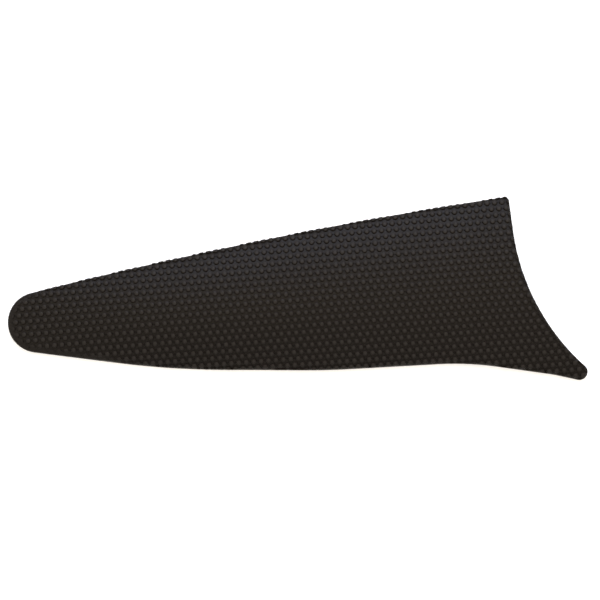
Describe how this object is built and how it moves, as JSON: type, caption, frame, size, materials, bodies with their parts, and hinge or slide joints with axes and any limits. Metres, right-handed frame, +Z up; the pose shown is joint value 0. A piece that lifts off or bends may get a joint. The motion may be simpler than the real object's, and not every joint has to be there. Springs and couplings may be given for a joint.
{
  "type": "snowboard stomp pad",
  "caption": "Tapered stick-on traction pad with a rounded nose, hooked tail, low crown, nubbed rubber tread, foam core, adhesive film and split release liner.",
  "frame": {"origin": "on the underside of the release liner, below the centre of the pad's outline box", "axes": "+X from the rounded nose to the hooked tail along the rows of nubs, +Y towards the long bowed edge, +Z up off the deck"},
  "size_m": [0.2318, 0.0762, 0.0082],
  "materials": {
    "tread_rubber": "satin moulded rubber, warm brown-black, with raised nubs",
    "core_foam": "closed-cell foam, charcoal, matte",
    "adhesive": "tacky clear adhesive on film, slightly amber",
    "liner_paper": "glazed silicone-coated release paper"
  },
  "bodies": {
    "pad": {"grip_tread": "tread_rubber", "foam_core": "core_foam", "adhesive_film": "adhesive"},
    "nose_liner": {"liner_nose_half": "liner_paper"},
    "tail_liner": {"liner_tail_half": "liner_paper"}
  },
  "joints": [
    {"name": "nose_liner_peel", "type": "slide", "parent": "pad", "child": "nose_liner", "axis": [-1, 0, 0], "range_m": [0, 0.13]},
    {"name": "tail_liner_peel", "type": "slide", "parent": "pad", "child": "tail_liner", "axis": [1, 0, 0], "range_m": [0, 0.106]}
  ]
}
